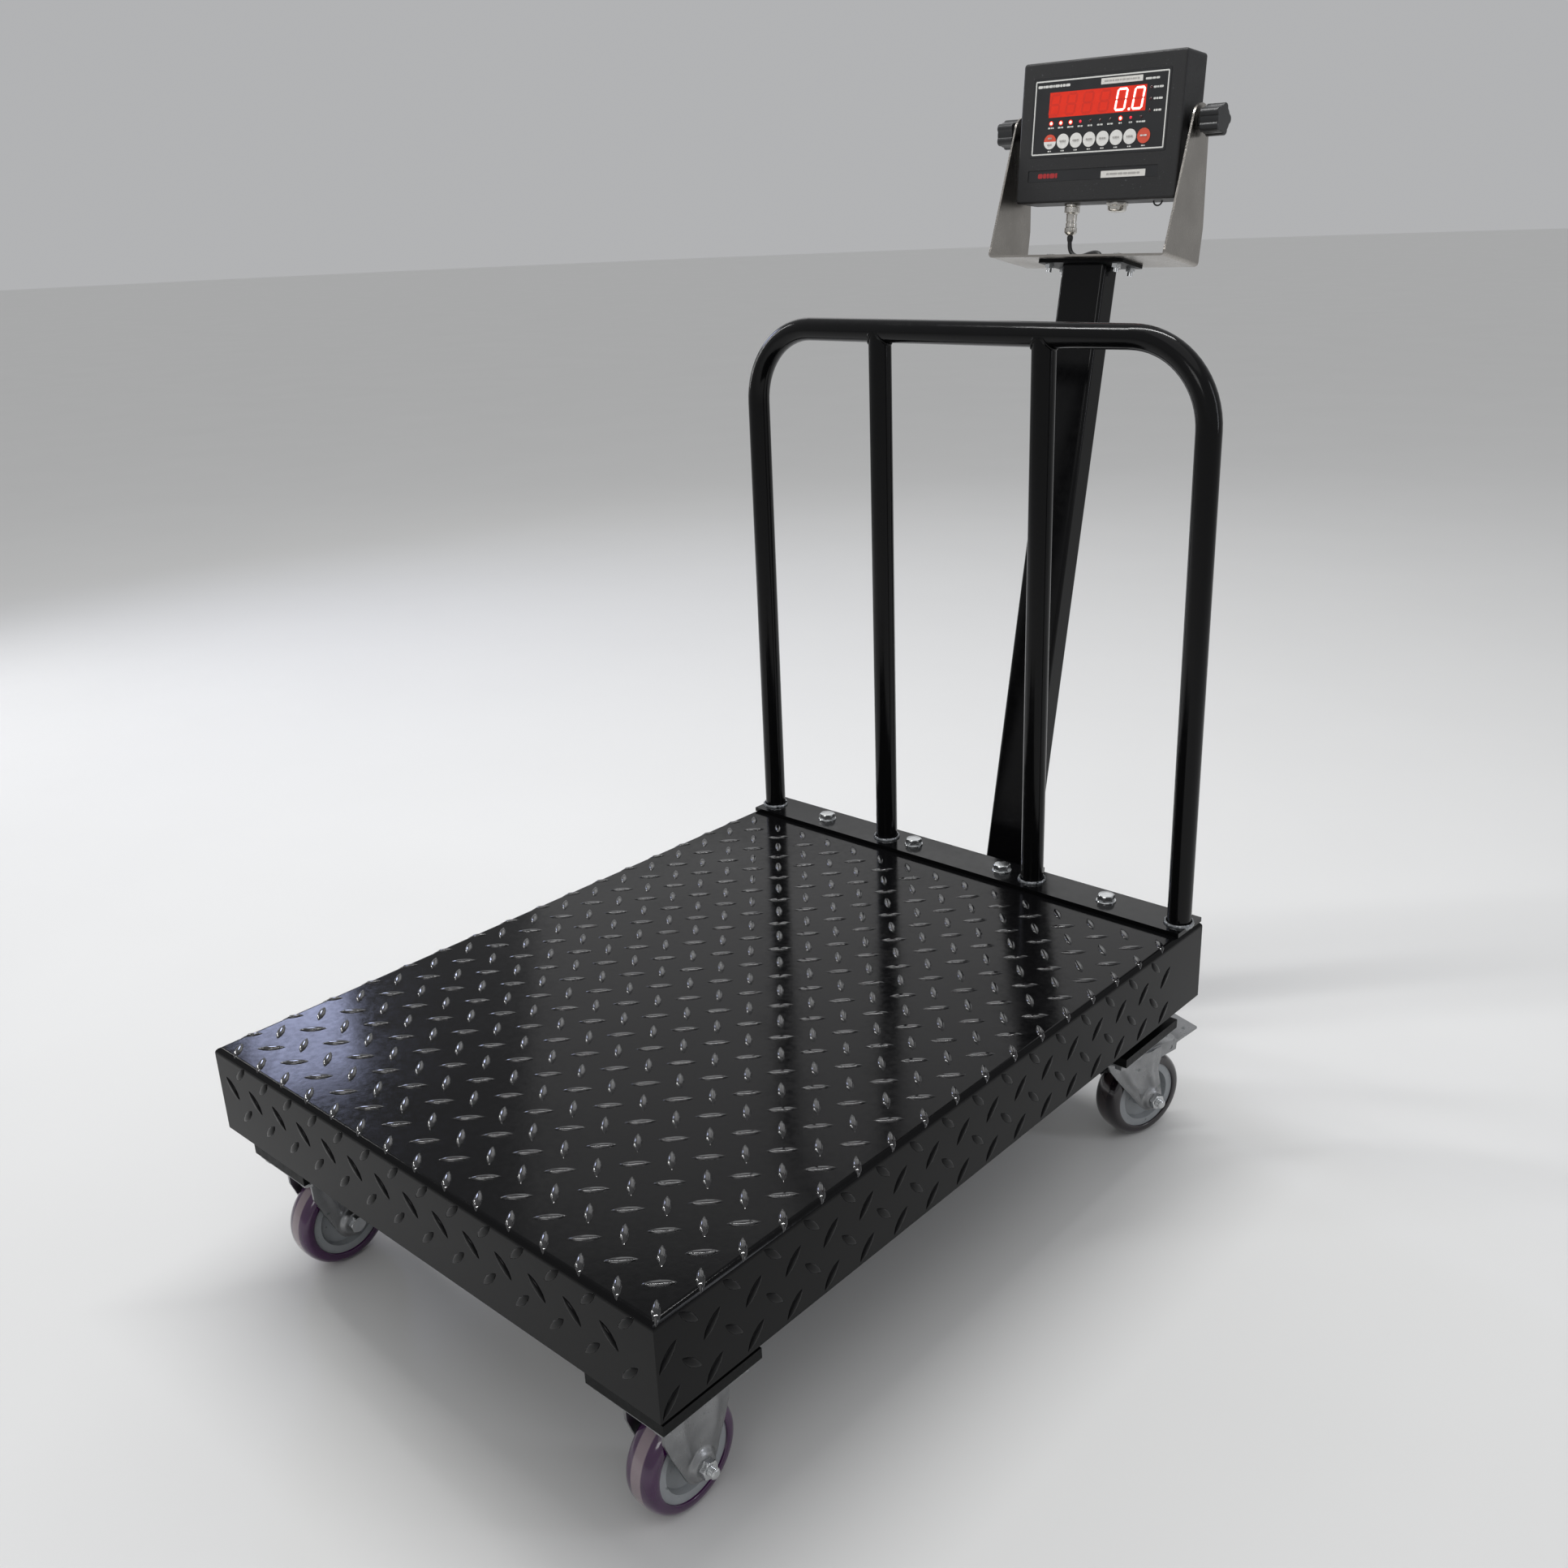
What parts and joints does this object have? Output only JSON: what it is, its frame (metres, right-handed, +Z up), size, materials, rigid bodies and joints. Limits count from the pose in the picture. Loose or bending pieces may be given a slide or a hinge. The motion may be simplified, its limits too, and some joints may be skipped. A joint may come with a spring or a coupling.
{
  "type": "pallet scale",
  "caption": "Portable platform scale: tread-plate deck on load cells and casters, with a back rail and a tilting indicator on a leaning column.",
  "frame": {"origin": "on the floor, under the middle of the whole object's box", "axes": "+Z up, +X to the right of a user facing the indicator, the user at the front on the -Y side, rail and column at the back on the +Y side"},
  "size_m": [0.6096, 1.1059, 1.1271],
  "materials": {
    "black_paint": "gloss black enamel",
    "frame_paint": "gloss black enamel",
    "zinc": "bright zinc plate",
    "stainless": "brushed",
    "nickel": "nickel plated",
    "tyre_purple": "glossy polyurethane",
    "hub_grey": "moulded",
    "case_charcoal": "fine textured powder coat",
    "panel_black": "printed film",
    "window_red": "tinted acrylic",
    "display_red": "LED module",
    "board_green": "solder mask",
    "battery_blue": "shrink sleeve",
    "key_white": "printed film",
    "key_red": "printed film",
    "knob_black": "moulded",
    "rubber_black": "satin",
    "cell_steel": "nickel plated alloy steel"
  },
  "bodies": {
    "base": {"base_frame": "frame_paint", "column_foot": "frame_paint", "column": "frame_paint", "column_bolts": "zinc", "column_top_plate": "frame_paint", "front_left_fork": "zinc", "front_right_fork": "zinc", "front_axles": "zinc", "rear_left_swivel_plate": "zinc", "rear_right_swivel_plate": "zinc", "caster_bolts": "zinc", "tread_deck": "black_paint", "deck_stiffeners": "frame_paint", "load_cells": "cell_steel", "load_cell_bolts": "zinc", "load_cell_feet": "zinc", "junction_box": "hub_grey", "rail_hoop": "black_paint", "rail_posts": "black_paint", "rail_base_strip": "black_paint", "rail_bolts": "zinc", "display_bracket": "stainless", "bracket_bolts": "zinc", "cable_grommet": "rubber_black", "signal_cable": "rubber_black"},
    "indicator": {"housing_front": "case_charcoal", "housing_back": "case_charcoal", "key_panel": "panel_black", "display_window": "window_red", "led_display": "display_red", "circuit_board": "board_green", "battery": "battery_blue", "housing_screws": "zinc", "pivot_spacers": "knob_black", "panel_sockets": "nickel", "cable_plug": "nickel"},
    "knob_left": {"clamp_knob_left": "knob_black"},
    "knob_right": {"clamp_knob_right": "knob_black"},
    "key_1": {"key_1": "key_red"},
    "key_2": {"key_2": "key_white"},
    "key_3": {"key_3": "key_white"},
    "key_4": {"key_4": "key_white"},
    "key_5": {"key_5": "key_white"},
    "key_6": {"key_6": "key_white"},
    "key_7": {"key_7": "key_white"},
    "key_8": {"key_8": "key_red"},
    "front_left_wheel": {"front_left_hub": "hub_grey", "front_left_tyre": "tyre_purple"},
    "front_right_wheel": {"front_right_hub": "hub_grey", "front_right_tyre": "tyre_purple"},
    "rear_left_fork": {"rear_left_fork": "zinc", "rear_left_axle": "zinc"},
    "rear_left_wheel": {"rear_left_hub": "hub_grey", "rear_left_tyre": "tyre_purple"},
    "rear_left_brake": {"rear_left_pedal": "zinc"},
    "rear_right_fork": {"rear_right_fork": "zinc", "rear_right_axle": "zinc"},
    "rear_right_wheel": {"rear_right_hub": "hub_grey", "rear_right_tyre": "tyre_purple"},
    "rear_right_brake": {"rear_right_pedal": "zinc"}
  },
  "joints": [
    {"name": "indicator_tilt", "type": "hinge", "parent": "base", "child": "indicator", "pos_m": [0, 0.52213, 1.05452], "axis": [-1, 0, 0], "range_deg": [-30, 30]},
    {"name": "knob_left_turn", "type": "hinge", "parent": "indicator", "child": "knob_left", "pos_m": [-0.1153, 0.52213, 1.05452], "axis": [-1, 0, 0], "range_deg": [0, 270]},
    {"name": "knob_right_turn", "type": "hinge", "parent": "indicator", "child": "knob_right", "pos_m": [0.1153, 0.52213, 1.05452], "axis": [1, 0, 0], "range_deg": [0, 270]},
    {"name": "key_1_press", "type": "slide", "parent": "indicator", "child": "key_1", "axis": [0, 0.9954, -0.0958], "range_m": [0, 0.0004], "stiffness_N_per_m": 2500},
    {"name": "key_2_press", "type": "slide", "parent": "indicator", "child": "key_2", "axis": [0, 0.9954, -0.0958], "range_m": [0, 0.0004], "stiffness_N_per_m": 2500},
    {"name": "key_3_press", "type": "slide", "parent": "indicator", "child": "key_3", "axis": [0, 0.9954, -0.0958], "range_m": [0, 0.0004], "stiffness_N_per_m": 2500},
    {"name": "key_4_press", "type": "slide", "parent": "indicator", "child": "key_4", "axis": [0, 0.9954, -0.0958], "range_m": [0, 0.0004], "stiffness_N_per_m": 2500},
    {"name": "key_5_press", "type": "slide", "parent": "indicator", "child": "key_5", "axis": [0, 0.9954, -0.0958], "range_m": [0, 0.0004], "stiffness_N_per_m": 2500},
    {"name": "key_6_press", "type": "slide", "parent": "indicator", "child": "key_6", "axis": [0, 0.9954, -0.0958], "range_m": [0, 0.0004], "stiffness_N_per_m": 2500},
    {"name": "key_7_press", "type": "slide", "parent": "indicator", "child": "key_7", "axis": [0, 0.9954, -0.0958], "range_m": [0, 0.0004], "stiffness_N_per_m": 2500},
    {"name": "key_8_press", "type": "slide", "parent": "indicator", "child": "key_8", "axis": [0, 0.9954, -0.0958], "range_m": [0, 0.0004], "stiffness_N_per_m": 2500},
    {"name": "front_left_wheel_spin", "type": "hinge", "parent": "base", "child": "front_left_wheel", "pos_m": [-0.246, -0.48455, 0.05], "axis": [1, 0, 0], "continuous": true},
    {"name": "front_right_wheel_spin", "type": "hinge", "parent": "base", "child": "front_right_wheel", "pos_m": [0.246, -0.48455, 0.05], "axis": [1, 0, 0], "continuous": true},
    {"name": "rear_left_swivel", "type": "hinge", "parent": "base", "child": "rear_left_fork", "pos_m": [-0.252, 0.17845, 0.12], "axis": [0, 0, 1], "continuous": true},
    {"name": "rear_left_wheel_spin", "type": "hinge", "parent": "rear_left_fork", "child": "rear_left_wheel", "pos_m": [-0.26282, 0.21174, 0.05], "axis": [0.9511, 0.309, 0], "continuous": true},
    {"name": "rear_left_brake_press", "type": "hinge", "parent": "rear_left_fork", "child": "rear_left_brake", "pos_m": [-0.27054, 0.23551, 0.106], "axis": [-0.9511, -0.309, 0], "range_deg": [0, 12]},
    {"name": "rear_right_swivel", "type": "hinge", "parent": "base", "child": "rear_right_fork", "pos_m": [0.252, 0.17845, 0.12], "axis": [0, 0, 1], "continuous": true},
    {"name": "rear_right_wheel_spin", "type": "hinge", "parent": "rear_right_fork", "child": "rear_right_wheel", "pos_m": [0.26282, 0.21174, 0.05], "axis": [0.9511, -0.309, 0], "continuous": true},
    {"name": "rear_right_brake_press", "type": "hinge", "parent": "rear_right_fork", "child": "rear_right_brake", "pos_m": [0.27054, 0.23551, 0.106], "axis": [-0.9511, 0.309, 0], "range_deg": [0, 12]}
  ]
}
